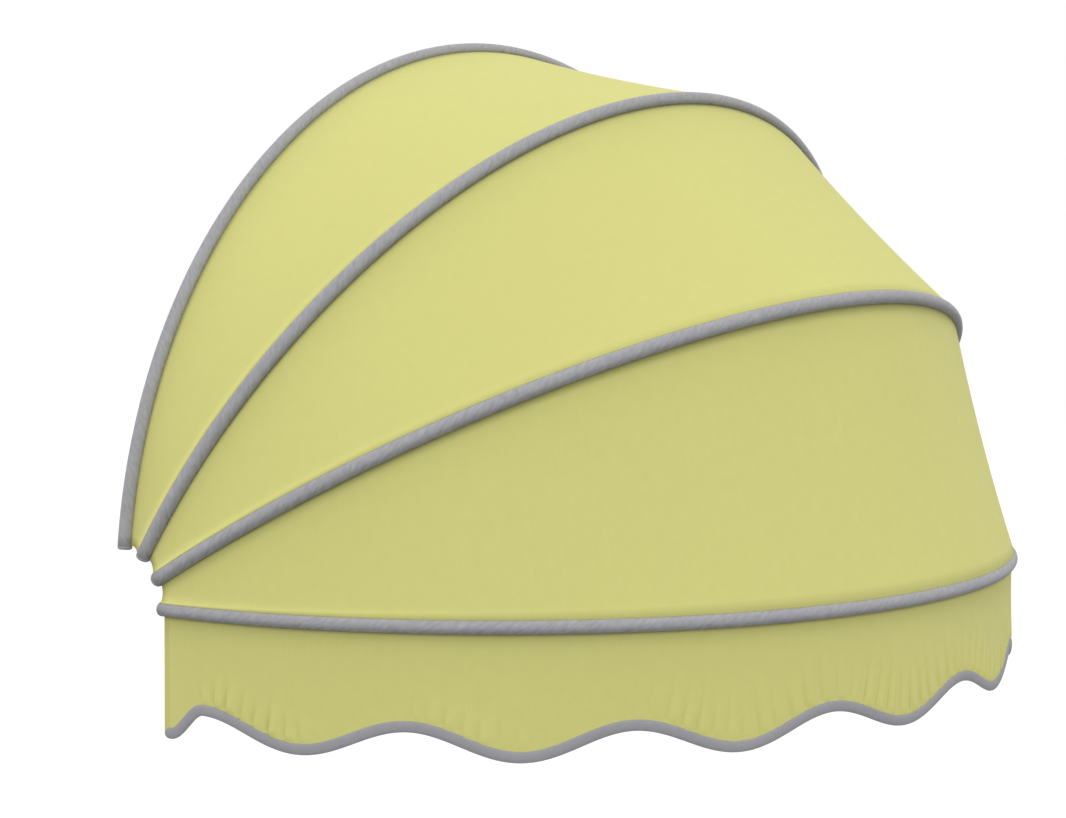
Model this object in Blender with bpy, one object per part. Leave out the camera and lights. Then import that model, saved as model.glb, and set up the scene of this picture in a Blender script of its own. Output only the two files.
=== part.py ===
"""Dome window awning: four half-round tube bows fan out from two wall brackets.

The bows share one horizontal hinge line. Cloth is stretched from bow to bow, and a scalloped
valance hangs from the front bow. Everything is in metres, with +Z up. The wall is the plane
Y = 0, and the awning stands out from it towards -Y. The origin is the middle of the back face
of the top wall lug, on the awning's centre line.

Three lengths place most pieces: across (X, from the centre line), forward (out from the plane
of the wall bow) and up (above the fan line, where the planes of all four bows meet).
"""
import math

import bmesh
import bpy
from mathutils import Matrix, Vector

# Driving dimensions: bows
BOW_RADIUS = 1.000
BOW_STEP = math.radians(30.0)
BOW_END_RISE = 0.0935
TUBE_DIAMETER = 0.024
TUBE_WALL = 0.0015
WALL_CLEARANCE = 0.002

# Driving dimensions: cloth
CLOTH_THICKNESS = 0.0012
CLOTH_END_INSET = 0.003
CLOTH_END_HOLLOW = 0.004
CLOTH_DIP = 0.007
CLOTH_SEAT_BACK = math.radians(-15.0)
CLOTH_SEAT_FRONT = math.radians(25.0)
VALANCE_DROP = 0.177
SCALLOP_DEPTH = 0.0225
SCALLOP_COUNT = 8
BRAID_WIDTH = 0.018
BRAID_THICKNESS = 0.008
BRAID_ROUND = 0.003
BRAID_FLOOR = 0.003

# Driving dimensions: hinge
PIVOT_FORWARD = 0.080
PIVOT_UP = 0.080
BOLT_DIAMETER = 0.008
BOLT_HEAD_DIAMETER = 0.015
BOLT_HEAD_HEIGHT = 0.005
BOLT_TIP = 0.004
NUT_ACROSS_FLATS = 0.013
NUT_HEIGHT = 0.0065
WASHER_DIAMETER = 0.020
WASHER_THICKNESS = 0.0012
ARM_THICKNESS = 0.005
EYE_RADIUS = 0.014
PAD_NEAR = 0.115
PAD_LENGTH = 0.070
PAD_WIDTH = 0.020
SADDLE_DEPTH = 0.0015
WEB_RIM = 0.002
WINDOW_SHARE = 0.2
SCREW_DIAMETER = 0.005
SCREW_HEAD_DIAMETER = 0.009
SCREW_HEAD_HEIGHT = 0.003
SCREW_END_DISTANCE = 0.015
SCREW_REACH = 0.008

# Driving dimensions: wall bracket and wall lugs
EAR_THICKNESS = 0.006
EAR_MARGIN = 0.008
FLANGE_THICKNESS = 0.005
FLANGE_WIDTH = 0.040
FLANGE_HOLE = 0.0065
LUG_LENGTH = 0.044
LUG_REACH = 0.044
LUG_THICKNESS = 0.004
LUG_WEB = 0.0065
LUG_HEIGHT = 0.024
LUG_CUP = 0.0028
LUG_HOLE = 0.006

# Driving dimensions: end caps
CAP_PLUG = 0.016
CAP_HEAD = 0.006
CAP_ROUND = 0.004

# Fit between pieces that touch
GAP = 0.0003

# Fineness of round forms
BOW_STEPS = 32
TUBE_SIDES = 10
ROUND_SIDES = 12
SMALL_SIDES = 6
SCALLOP_STEPS = 6
END_STEPS = 3
END_FACET = 0.036

# Sizes that follow from the driving dimensions
TUBE_RADIUS = TUBE_DIAMETER / 2
BORE_RADIUS = TUBE_RADIUS - TUBE_WALL
BOW_TO_WALL = TUBE_RADIUS + WALL_CLEARANCE
BOW_START = math.asin(BOW_END_RISE / BOW_RADIUS)
END_STEP = END_FACET / BOW_RADIUS
LUG_CENTRE = (TUBE_RADIUS + GAP + LUG_WEB + LUG_REACH) / 2
FAN_Z = LUG_CENTRE - BOW_RADIUS
PAD_FAR = PAD_NEAR + PAD_LENGTH
EAR_LOW = PAD_NEAR - EAR_MARGIN
EAR_HIGH = PAD_FAR + EAR_MARGIN
WALL_ANGLE, UPPER_ANGLE, LOWER_ANGLE, FRONT_ANGLE = (BOW_STEP * n for n in (3, 2, 1, 0))
LEFT, RIGHT = -1, 1
SIDE_NAMES = {LEFT: "left", RIGHT: "right"}


def world(across, forward, up):
    """The point in space for three lengths of the awning's own."""
    return Vector((across, -(forward + BOW_TO_WALL), up + FAN_Z))


PIVOT = world(0.0, PIVOT_FORWARD, PIVOT_UP)


def bow_point(angle, phi, radial=0.0, normal=0.0):
    """A point by the bow at this angle: phi runs from 0 at the left to pi at the right."""
    reach = (BOW_RADIUS + radial) * math.sin(phi)
    forward = reach * math.cos(angle) - normal * math.sin(angle)
    up = reach * math.sin(angle) + normal * math.cos(angle)
    return world(-(BOW_RADIUS + radial) * math.cos(phi), forward, up)


def bow_tangent(angle, phi):
    """The unit direction in which phi grows along the bow at this angle."""
    return Vector((math.sin(phi), -math.cos(phi) * math.cos(angle), math.cos(phi) * math.sin(angle)))


def bow_inset(reach):
    """How far the bow's centre line has come in from its full half width at this reach."""
    return BOW_RADIUS - math.sqrt(BOW_RADIUS ** 2 - reach ** 2)


def arm_point(side, angle, inset, reach, normal=0.0):
    """A point by a hinge arm, inset from the full half width, in the plane of its bow."""
    forward = reach * math.cos(angle) - normal * math.sin(angle)
    up = reach * math.sin(angle) + normal * math.cos(angle)
    return world(side * (BOW_RADIUS - inset), forward, up)


def hole_radius(clear, sides):
    """The corner radius of a many-sided hole whose flats stay clear by this radius."""
    return clear / math.cos(math.pi / sides)


# Scene, materials and the fan of hinge empties

def clear_scene():
    for obj in list(bpy.data.objects):
        bpy.data.objects.remove(obj, do_unlink=True)


def make_material(name, colour, roughness, metallic=0.0):
    material = bpy.data.materials.new(name)
    material.use_nodes = True
    shader = material.node_tree.nodes["Principled BSDF"]
    shader.inputs["Base Color"].default_value = (*colour, 1.0)
    shader.inputs["Roughness"].default_value = roughness
    shader.inputs["Metallic"].default_value = metallic
    return material


def make_hinge_empty(name, parent):
    """An empty on the hinge line: turning it about X swings all that it carries."""
    empty = bpy.data.objects.new(name, None)
    bpy.context.collection.objects.link(empty)
    empty.parent = parent
    if parent is None:
        empty.location = PIVOT
    return empty


clear_scene()
GREY = make_material("tube_grey_paint", (0.36, 0.36, 0.38), 0.55)
CAST = make_material("cast_grey_paint", (0.30, 0.30, 0.32), 0.6)
CAP = make_material("cap_grey_plastic", (0.36, 0.36, 0.38), 0.6)
STEEL = make_material("zinc_plated_steel", (0.60, 0.60, 0.60), 0.35, 1.0)
NYLON = make_material("black_nylon", (0.03, 0.03, 0.03), 0.5)
CLOTH = make_material("awning_cloth", (0.66, 0.65, 0.26), 0.9)
BRAID = make_material("grey_braid", (0.33, 0.33, 0.35), 0.9)

WALL_FRAME = make_hinge_empty("wall_frame_pivot", None)
UPPER_HINGE = make_hinge_empty("upper_hinge_pivot", WALL_FRAME)
LOWER_HINGE = make_hinge_empty("lower_hinge_pivot", UPPER_HINGE)
FRONT_HINGE = make_hinge_empty("front_hinge_pivot", LOWER_HINGE)


# Mesh helpers

def add_piece(name, bm, material, hinge):
    """Turn a mesh in world places into an object whose origin is on the hinge line."""
    bmesh.ops.recalc_face_normals(bm, faces=bm.faces)
    bmesh.ops.translate(bm, vec=-PIVOT, verts=bm.verts)
    mesh = bpy.data.meshes.new(name)
    bm.to_mesh(mesh)
    bm.free()
    mesh.materials.append(material)
    obj = bpy.data.objects.new(name, mesh)
    bpy.context.collection.objects.link(obj)
    obj.parent = hinge
    return obj


def shade_round(obj):
    obj.data.shade_smooth()
    obj.data.set_sharp_from_angle(angle=math.radians(40.0))


def combine(obj, other_bm, operation):
    """Join a second shape to a piece, or cut it out of the piece, and drop the second shape."""
    tool = add_piece(obj.name + "_tool", other_bm, obj.data.materials[0], obj.parent)
    modifier = obj.modifiers.new("combine", "BOOLEAN")
    modifier.operation = operation
    modifier.solver = "EXACT"
    modifier.object = tool
    bpy.context.view_layer.update()
    evaluated = obj.evaluated_get(bpy.context.evaluated_depsgraph_get())
    mesh = bpy.data.meshes.new_from_object(evaluated)
    obj.modifiers.clear()
    obj.data = mesh
    bpy.data.objects.remove(tool, do_unlink=True)


def add_to(bm, other):
    """Copy a second mesh into the first, as a separate body."""
    mesh = bpy.data.meshes.new("copy")
    other.to_mesh(mesh)
    other.free()
    bm.from_mesh(mesh)
    bpy.data.meshes.remove(mesh)


def hull(points):
    """The closed convex solid round a cloud of points, with its flats as single faces."""
    bm = bmesh.new()
    for point in points:
        bm.verts.new(point)
    bmesh.ops.remove_doubles(bm, verts=bm.verts, dist=1e-6)
    result = bmesh.ops.convex_hull(bm, input=bm.verts, use_existing_faces=False)
    spare = {v for v in result["geom_interior"] + result["geom_unused"] if isinstance(v, bmesh.types.BMVert)}
    bmesh.ops.delete(bm, geom=list(spare), context="VERTS")
    bmesh.ops.dissolve_limit(bm, angle_limit=math.radians(0.2), verts=bm.verts, edges=bm.edges)
    return bm


def loft(bm, sections):
    """Faces from each closed section to the next. The ends stay open."""
    loops = [[bm.verts.new(point) for point in section] for section in sections]
    for near, far in zip(loops, loops[1:]):
        for k in range(len(near)):
            bm.faces.new((near[k - 1], near[k], far[k], far[k - 1]))
    return loops


def turned(profile, start, direction, sides, beside=None):
    """Turn a profile of (along, radius) points round an axis, from the side named by beside."""
    bm = bmesh.new()
    axis = direction.normalized()
    beside = beside or axis.orthogonal().normalized()
    spokes = [Matrix.Rotation(2 * math.pi * k / sides, 3, axis) @ beside for k in range(sides)]
    closed = profile[0] == profile[-1]
    rings = []
    for along, radius in profile[:-1] if closed else profile:
        centre = start + axis * along
        if radius == 0.0:
            rings.append([bm.verts.new(centre)] * sides)
        else:
            rings.append([bm.verts.new(centre + spoke * radius) for spoke in spokes])
    if closed:
        rings.append(rings[0])
    for near, far in zip(rings, rings[1:]):
        for k in range(sides):
            bm.faces.new(dict.fromkeys((near[k - 1], near[k], far[k], far[k - 1])))
    bmesh.ops.recalc_face_normals(bm, faces=bm.faces)
    return bm


def rod(start, end, radius, sides):
    length = (end - start).length
    profile = [(0.0, 0.0), (0.0, radius), (length, radius), (length, 0.0)]
    return turned(profile, start, end - start, sides)


def ring(start, direction, thickness, inner, outer, sides):
    """A washer: the profile is closed, so that the hole stays open."""
    profile = [(0.0, inner), (0.0, outer), (thickness, outer), (thickness, inner), (0.0, inner)]
    return turned(profile, start, direction, sides)


# Bows: bent aluminium tube, open inside, with a plastic plug in each end

def bow_phis(end_inset=0.0):
    """Stations along a bow. Tubes and cloth share them, but for how far in the ends lie.

    The first and last facets are straight and longer than a plug, so that the plugs fit in them.
    """
    first = math.asin((BOW_END_RISE + end_inset) / BOW_RADIUS)
    second = BOW_START + END_STEP
    steps = BOW_STEPS - 2
    middle = [second + (math.pi - 2 * second) * k / steps for k in range(steps + 1)]
    return [first] + middle + [math.pi - first]


def bow_sections(angle, radius):
    """Round cross sections of a bow, from its left end to its right end."""
    turns = [2 * math.pi * k / TUBE_SIDES for k in range(TUBE_SIDES)]
    return [[bow_point(angle, phi, radius * math.sin(turn), radius * math.cos(turn)) for turn in turns]
            for phi in bow_phis()]


def bow_tube(angle):
    """Two skins, outside and bore, joined by a flat rim at each end."""
    bm = bmesh.new()
    outside = loft(bm, bow_sections(angle, TUBE_RADIUS))
    bore = loft(bm, bow_sections(angle, BORE_RADIUS))
    for end in (0, -1):
        for k in range(TUBE_SIDES):
            bm.faces.new((outside[end][k - 1], outside[end][k], bore[end][k], bore[end][k - 1]))
    return bm


def bow_seat_cutter(angle):
    """The tube's outline with its fit clearance, to cut seats in what grips the bow."""
    bm = bmesh.new()
    loops = loft(bm, bow_sections(angle, hole_radius(TUBE_RADIUS + GAP, TUBE_SIDES)))
    bm.faces.new(loops[0])
    bm.faces.new(loops[-1])
    return bm


def end_cap(side, angle):
    """A plug in the tube's bore, with a head as wide as the tube and a rounded rim."""
    phi = BOW_START if side == LEFT else math.pi - BOW_START
    inward = bow_tangent(angle, phi) * -side
    square = Vector((0.0, math.sin(angle), math.cos(angle)))
    plug_radius = BORE_RADIUS - hole_radius(GAP, TUBE_SIDES) - CAP_PLUG * END_STEP / 2
    bend = CAP_ROUND * (1 - math.cos(math.pi / 4))
    profile = [
        (-CAP_HEAD, 0.0), (-CAP_HEAD, TUBE_RADIUS - CAP_ROUND), (bend - CAP_HEAD, TUBE_RADIUS - bend),
        (CAP_ROUND - CAP_HEAD, TUBE_RADIUS), (-GAP, TUBE_RADIUS), (-GAP, plug_radius),
        (CAP_PLUG, plug_radius), (CAP_PLUG, 0.0),
    ]
    return turned(profile, bow_point(angle, phi), inward, TUBE_SIDES, square)


# Hinge arms: one casting per bow and side, with an eye on the pivot bolt and a saddle on the tube

def layer_insets():
    """How far in from the full half width each layer on the pivot bolt starts and ends."""
    layers = {}
    stack = [
        ("head", BOLT_HEAD_HEIGHT), ("upper", ARM_THICKNESS), ("washer_1", WASHER_THICKNESS),
        ("lower", ARM_THICKNESS), ("washer_2", WASHER_THICKNESS), ("front", ARM_THICKNESS),
        ("washer_3", WASHER_THICKNESS), ("ear", EAR_THICKNESS), ("nut", NUT_HEIGHT),
    ]
    upper_start = bow_inset(PAD_FAR) + TUBE_RADIUS + GAP + SADDLE_DEPTH
    place = upper_start - GAP - BOLT_HEAD_HEIGHT
    for name, thickness in stack:
        layers[name] = (place, place + thickness)
        place += thickness + GAP
    return layers


LAYERS = layer_insets()


def pivot_in_plane(angle):
    """The pivot bolt's place, as reach along a bow's plane and distance from the plane."""
    reach = PIVOT_FORWARD * math.cos(angle) + PIVOT_UP * math.sin(angle)
    normal = PIVOT_UP * math.cos(angle) - PIVOT_FORWARD * math.sin(angle)
    return reach, normal


def circle(first, second, radius):
    """Points round a circle in the flat of an arm or bracket, as pairs of lengths."""
    turns = (2 * math.pi * k / ROUND_SIDES for k in range(ROUND_SIDES))
    return [(first + radius * math.cos(turn), second + radius * math.sin(turn)) for turn in turns]


def pad_outline(rim=0.0):
    """The saddle's outline: a slot shape along the tube, a little narrower than the tube."""
    half = PAD_WIDTH / 2
    return circle(PAD_NEAR + half, 0.0, half + rim) + circle(PAD_FAR - half, 0.0, half + rim)


def screw_reaches():
    return PAD_NEAR + SCREW_END_DISTANCE, PAD_FAR - SCREW_END_DISTANCE


def saddle(side, angle, plate_inset):
    """The block between an arm's plate and the middle of its tube."""
    points = []
    for reach, normal in pad_outline():
        points.append(arm_point(side, angle, bow_inset(reach), reach, normal))
        points.append(arm_point(side, angle, plate_inset, reach, normal))
    return hull(points)


def pad_screw_holes(side, angle, face_inset):
    """Cutters through an arm, its saddle and the near wall of its tube, with room for sunk heads."""
    bm = bmesh.new()
    inward = Vector((-side, 0.0, 0.0))
    radius = hole_radius(SCREW_DIAMETER / 2 + GAP, SMALL_SIDES)
    head_radius = hole_radius(SCREW_HEAD_DIAMETER / 2 + GAP, SMALL_SIDES)
    for reach in screw_reaches():
        length = face_inset - bow_inset(reach)
        sink = length - SCREW_HEAD_HEIGHT - 2 * GAP
        profile = [(0.0, 0.0), (0.0, radius), (sink, radius), (sink, head_radius),
                   (length + ARM_THICKNESS, head_radius), (length + ARM_THICKNESS, 0.0)]
        start = arm_point(side, angle, bow_inset(reach), reach)
        add_to(bm, turned(profile, start, inward, SMALL_SIDES))
    return bm


def headed_pin(tip, head_seat):
    """A pan-head screw or rivet, from its tip in the tube's hollow to the seat of its head."""
    head = (head_seat - tip).length + GAP
    profile = [
        (0.0, 0.0), (0.0, SCREW_DIAMETER / 2), (head, SCREW_DIAMETER / 2),
        (head, SCREW_HEAD_DIAMETER / 2), (head + SCREW_HEAD_HEIGHT, SCREW_HEAD_DIAMETER / 3),
        (head + SCREW_HEAD_HEIGHT, 0.0),
    ]
    return turned(profile, tip, head_seat - tip, SMALL_SIDES)


def make_pad_screws(name, side, angle, face_inset, hinge):
    """Two screws from an arm's inner face into the hollow of the tube, with their heads sunk."""
    seat_inset = face_inset - SCREW_HEAD_HEIGHT - 2 * GAP
    for place, reach in zip(("near", "far"), screw_reaches()):
        tip = arm_point(side, angle, bow_inset(reach) + TUBE_RADIUS - SCREW_REACH, reach)
        screw = headed_pin(tip, arm_point(side, angle, seat_inset, reach))
        shade_round(add_piece(f"{name}_screw_{SIDE_NAMES[side]}_{place}", screw, STEEL, hinge))


def bolt_hole(side, layer):
    """A cutter for the pivot bolt's running hole through one layer."""
    start, end = LAYERS[layer]
    radius = hole_radius(BOLT_DIAMETER / 2 + GAP, ROUND_SIDES)
    ends = [world(side * (BOW_RADIUS - inset), PIVOT_FORWARD, PIVOT_UP)
            for inset in (start - ARM_THICKNESS, end + ARM_THICKNESS)]
    return rod(*ends, radius, ROUND_SIDES)


def make_arm(name, side, angle, layer, hinge):
    """A cast arm: a flat web from the eye to the pad, pierced to save weight where it is wide."""
    start, end = LAYERS[layer]
    eye_reach, eye_normal = pivot_in_plane(angle)
    outline = circle(eye_reach, eye_normal, EYE_RADIUS) + pad_outline(WEB_RIM)
    web = hull([arm_point(side, angle, inset, *place) for place in outline for inset in (start, end)])
    arm = add_piece(name, web, CAST, hinge)
    combine(arm, saddle(side, angle, (start + end) / 2), "UNION")
    combine(arm, bow_seat_cutter(angle), "DIFFERENCE")
    holes = bolt_hole(side, layer)
    add_to(holes, pad_screw_holes(side, angle, end))
    window = (abs(eye_normal) - EYE_RADIUS - PAD_WIDTH / 2) * WINDOW_SHARE
    if window > SCREW_DIAMETER:
        pad_middle = (PAD_NEAR + PAD_FAR) / 2
        middle = arm_point(side, angle, start, (eye_reach + pad_middle) / 2, eye_normal / 2)
        thick = Vector((side * ARM_THICKNESS, 0.0, 0.0))
        add_to(holes, rod(middle + thick, middle - thick * 2, window, ROUND_SIDES))
    combine(arm, holes, "DIFFERENCE")
    return arm


# Pivot bolts: each passes through three arms and the ear of its wall bracket

def make_pivot(side):
    """The bolt, its nut, and a washer after each arm."""
    where = SIDE_NAMES[side]
    inward = Vector((-side, 0.0, 0.0))

    def at(inset):
        """The place on the hinge line this far in from the full half width."""
        return world(side * (BOW_RADIUS - inset), PIVOT_FORWARD, PIVOT_UP)

    head_start, head_end = LAYERS["head"]
    nut_start, nut_end = LAYERS["nut"]
    length = nut_end + BOLT_TIP - head_start
    crown = BOLT_HEAD_HEIGHT / 3
    profile = [
        (0.0, 0.0), (0.0, BOLT_HEAD_DIAMETER / 2 - crown), (crown, BOLT_HEAD_DIAMETER / 2),
        (head_end - head_start, BOLT_HEAD_DIAMETER / 2), (head_end - head_start, BOLT_DIAMETER / 2),
        (length, BOLT_DIAMETER / 2), (length, 0.0),
    ]
    bolt = turned(profile, at(head_start), inward, ROUND_SIDES)
    shade_round(add_piece(f"pivot_bolt_{where}", bolt, STEEL, WALL_FRAME))

    nut_radius = hole_radius(NUT_ACROSS_FLATS / 2, 6)
    nut = add_piece(f"pivot_nut_{where}", rod(at(nut_start), at(nut_end), nut_radius, 6), STEEL, WALL_FRAME)
    bore = hole_radius(BOLT_DIAMETER / 2 + GAP, ROUND_SIDES)
    combine(nut, rod(at(nut_start - BOLT_TIP), at(nut_end + BOLT_TIP), bore, ROUND_SIDES), "DIFFERENCE")

    for layer in ("washer_1", "washer_2", "washer_3"):
        washer = ring(at(LAYERS[layer][0]), inward, WASHER_THICKNESS, bore, WASHER_DIAMETER / 2, ROUND_SIDES)
        shade_round(add_piece(f"pivot_{layer}_{where}", washer, NYLON, WALL_FRAME))


# Wall brackets: a cast ear with a wall flange, and a saddle that grips the end of the wall bow

def make_bracket(side):
    """One casting: the ear for the bolt, the flange on the wall and the saddle on the tube."""
    start, end = LAYERS["ear"]
    corner = FLANGE_THICKNESS / 2
    back = corner - BOW_TO_WALL
    low, high = EAR_LOW + corner, EAR_HIGH - corner

    outline = circle(PIVOT_FORWARD, PIVOT_UP, EYE_RADIUS) + circle(back, low, corner)
    outline += circle(back, high, corner) + circle(PAD_WIDTH / 2 + WEB_RIM - corner, high, corner)
    ear = hull([world(side * (BOW_RADIUS - inset), *place) for place in outline for inset in (start, end)])
    bracket = add_piece(f"hinge_bracket_{SIDE_NAMES[side]}", ear, CAST, WALL_FRAME)

    flange_points = []
    for across in (start, end + FLANGE_WIDTH):
        for up in (EAR_LOW, EAR_HIGH):
            for forward in (-BOW_TO_WALL, FLANGE_THICKNESS - BOW_TO_WALL):
                flange_points.append(world(side * (BOW_RADIUS - across), forward, up))
    combine(bracket, hull(flange_points), "UNION")
    combine(bracket, saddle(side, WALL_ANGLE, (start + end) / 2), "UNION")
    combine(bracket, bow_seat_cutter(WALL_ANGLE), "DIFFERENCE")

    holes = bolt_hole(side, "ear")
    add_to(holes, pad_screw_holes(side, WALL_ANGLE, end))
    for up, inset in flange_hole_places():
        across = side * (BOW_RADIUS - inset)
        radius = hole_radius(FLANGE_HOLE / 2, SMALL_SIDES)
        ends = (world(across, forward, up) for forward in (-2 * BOW_TO_WALL, 2 * FLANGE_THICKNESS - BOW_TO_WALL))
        add_to(holes, rod(*ends, radius, SMALL_SIDES))
    combine(bracket, holes, "DIFFERENCE")


def flange_hole_places():
    """Two wall holes in the flange, as (up, inset)."""
    inset = LAYERS["ear"][1] + FLANGE_WIDTH / 2
    margin = 2 * FLANGE_HOLE
    return [(EAR_LOW + margin, inset), (EAR_HIGH - margin, inset)]


# Wall lugs: pressed angle pieces that hold the wall bow to the wall from inside its curve

def lug_point(phi, along, inward, depth):
    """A point by a lug: along the bow, in from the tube's centre line, and out from the wall."""
    place = bow_point(WALL_ANGLE, phi, -inward)
    return Vector((place.x, -depth, place.z)) + bow_tangent(WALL_ANGLE, phi) * along


def make_lug(name, phi):
    """One lug: a flat foot on the wall and a web that cups the tube."""
    half = LUG_LENGTH / 2
    web_face = TUBE_RADIUS + GAP + LUG_WEB
    web_back = TUBE_RADIUS - LUG_CUP

    outline = [(web_back, 0.0), (LUG_REACH, 0.0), (LUG_REACH, LUG_THICKNESS),
               (web_face, LUG_THICKNESS), (web_face, LUG_HEIGHT), (web_back, LUG_HEIGHT)]
    bm = bmesh.new()
    ends = loft(bm, [[lug_point(phi, along, *place) for place in outline] for along in (-half, half)])
    bm.faces.new(ends[0])
    bm.faces.new(ends[-1])
    lug = add_piece(f"wall_lug_{name}", bm, CAST, WALL_FRAME)
    combine(lug, bow_seat_cutter(WALL_ANGLE), "DIFFERENCE")
    holes = lug_rivet_hole(phi)
    for along in (-half / 2, half / 2):
        hole = [lug_point(phi, along, LUG_CENTRE, depth) for depth in (-LUG_THICKNESS, 2 * LUG_THICKNESS)]
        add_to(holes, rod(*hole, hole_radius(LUG_HOLE / 2, SMALL_SIDES), SMALL_SIDES))
    combine(lug, holes, "DIFFERENCE")


def lug_rivet_hole(phi):
    """A cutter through a lug's web and the near wall of the tube."""
    ends = [lug_point(phi, 0.0, inward, BOW_TO_WALL) for inward in (0.0, 2 * TUBE_RADIUS)]
    return rod(*ends, hole_radius(SCREW_DIAMETER / 2 + GAP, SMALL_SIDES), SMALL_SIDES)


def make_lug_rivet(name, phi):
    tip = lug_point(phi, 0.0, TUBE_RADIUS - SCREW_REACH, BOW_TO_WALL)
    seat = lug_point(phi, 0.0, TUBE_RADIUS + GAP + LUG_WEB, BOW_TO_WALL)
    shade_round(add_piece(f"wall_lug_rivet_{name}", headed_pin(tip, seat), STEEL, WALL_FRAME))


LUG_PHIS = {"top": math.pi / 2, "left": math.pi / 4, "right": 3 * math.pi / 4}


def make_bows():
    """The four bows, with the holes that their arms, brackets and lugs need, and their caps."""
    arm_layers = {"upper": LAYERS["upper"], "lower": LAYERS["lower"], "front": LAYERS["front"],
                  "wall": LAYERS["ear"]}
    fans = [("wall", WALL_ANGLE, WALL_FRAME), ("upper", UPPER_ANGLE, UPPER_HINGE),
            ("lower", LOWER_ANGLE, LOWER_HINGE), ("front", FRONT_ANGLE, FRONT_HINGE)]
    for name, angle, hinge in fans:
        bow = add_piece(f"{name}_bow", bow_tube(angle), GREY, hinge)
        holes = bmesh.new()
        for side in (LEFT, RIGHT):
            face = arm_layers[name][1]
            add_to(holes, pad_screw_holes(side, angle, face))
            make_pad_screws(f"{name}_bow", side, angle, face, hinge)
            cap = end_cap(side, angle)
            shade_round(add_piece(f"{name}_bow_cap_{SIDE_NAMES[side]}", cap, CAP, hinge))
        if name == "wall":
            for phi in LUG_PHIS.values():
                add_to(holes, lug_rivet_hole(phi))
        combine(bow, holes, "DIFFERENCE")
        shade_round(bow)


# Cloth: three panels stretched from bow to bow, a valance and its braid

def solid_sheet(name, rows, thickness, material, hinge):
    """A closed sheet of even thickness on a grid of points."""
    bm = bmesh.new()
    grid = [[bm.verts.new(point) for point in row] for row in rows]
    for near, far in zip(grid, grid[1:]):
        for k in range(len(near) - 1):
            bm.faces.new((near[k], near[k + 1], far[k + 1], far[k]))
    sheet = add_piece(name, bm, material, hinge)
    solidify = sheet.modifiers.new("cloth_thickness", "SOLIDIFY")
    solidify.thickness = thickness
    solidify.offset = 0.0
    solidify.use_even_offset = True
    sheet.data.shade_smooth()
    return sheet


def seat_on_tube(seat):
    """How far along the cloth, and out from it, the edge of the cloth lies from a tube's centre."""
    to_axis = TUBE_RADIUS + GAP + CLOTH_THICKNESS / 2 * abs(math.sin(seat))
    return to_axis * math.cos(seat), to_axis * math.sin(seat)


def panel_rows(back_angle, front_angle):
    """Rows of points: the cloth leaves the back tube low down, dips, and runs up over the front one."""
    rows = []
    chord = 2 * math.sin((back_angle - front_angle) / 2) * BOW_RADIUS
    middle = (back_angle + front_angle) / 2
    back_along, back_rise = seat_on_tube(CLOTH_SEAT_BACK)
    front_along, front_rise = seat_on_tube(CLOTH_SEAT_FRONT)
    for share in (0.0, 0.5, 1.0):
        hollow = 4 * share * (1 - share)
        row = []
        for phi in bow_phis(CLOTH_END_INSET + CLOTH_END_HOLLOW * hollow):
            back, front = bow_point(back_angle, phi), bow_point(front_angle, phi)
            span = front - back
            square = span.cross(bow_tangent(back_angle, phi)).length
            start, end = back_along / square, 1 - front_along / square
            rise = back_rise + (front_rise - back_rise) * share
            dip = CLOTH_DIP * hollow * (span.length / chord) ** 2
            outward = bow_point(middle, phi, 1.0) - bow_point(middle, phi)
            row.append(back + span * (start + (end - start) * share) + outward * (rise - dip))
        rows.append(row)
    return rows


def valance_phis():
    """Stations along the valance, close together where the hem curves."""
    first = math.asin((BOW_END_RISE + CLOTH_END_INSET) / BOW_RADIUS)
    crest = math.pi / (SCALLOP_COUNT + 1) / 2
    steps = SCALLOP_COUNT * SCALLOP_STEPS
    start = [first + (crest - first) * k / END_STEPS for k in range(END_STEPS)]
    middle = [crest + (math.pi - 2 * crest) * k / steps for k in range(steps + 1)]
    return start + middle + [math.pi - phi for phi in reversed(start)]


def hem_drop(phi):
    """How far the middle of the braid hangs below the front bow: a low at each end."""
    first = math.asin((BOW_END_RISE + CLOTH_END_INSET) / BOW_RADIUS)
    crest = math.pi / (SCALLOP_COUNT + 1) / 2
    from_end = min(phi, math.pi - phi)
    if from_end < crest:
        wave = math.pi * (from_end - first) / (crest - first)
    else:
        wave = math.pi * phi / crest
    return VALANCE_DROP + SCALLOP_DEPTH * math.cos(wave)


def hem_point(phi, outward, below):
    """A point by the hem, below the middle of the braid and square to its slope."""
    step = 1e-4
    slope = (hem_drop(phi + step) - hem_drop(phi - step)) / (2 * step * BOW_RADIUS)
    length = math.hypot(1.0, slope)
    moved = phi - slope * below / length / BOW_RADIUS
    place = bow_point(FRONT_ANGLE, moved, outward)
    place.z = FAN_Z - hem_drop(phi) - below / length
    return place


def make_valance():
    """The valance hangs straight down from the underside of the front bow."""
    top = TUBE_RADIUS + GAP
    edge = BRAID_WIDTH / 2 - BRAID_FLOOR - GAP
    rows = [[], [], []]
    for phi in valance_phis():
        high = bow_point(FRONT_ANGLE, phi, 0.0, -top)
        low = hem_point(phi, 0.0, edge)
        rows[0].append(high)
        rows[1].append((high + low) / 2)
        rows[2].append(low)
    solid_sheet("valance", rows, CLOTH_THICKNESS, CLOTH, FRONT_HINGE)


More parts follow.
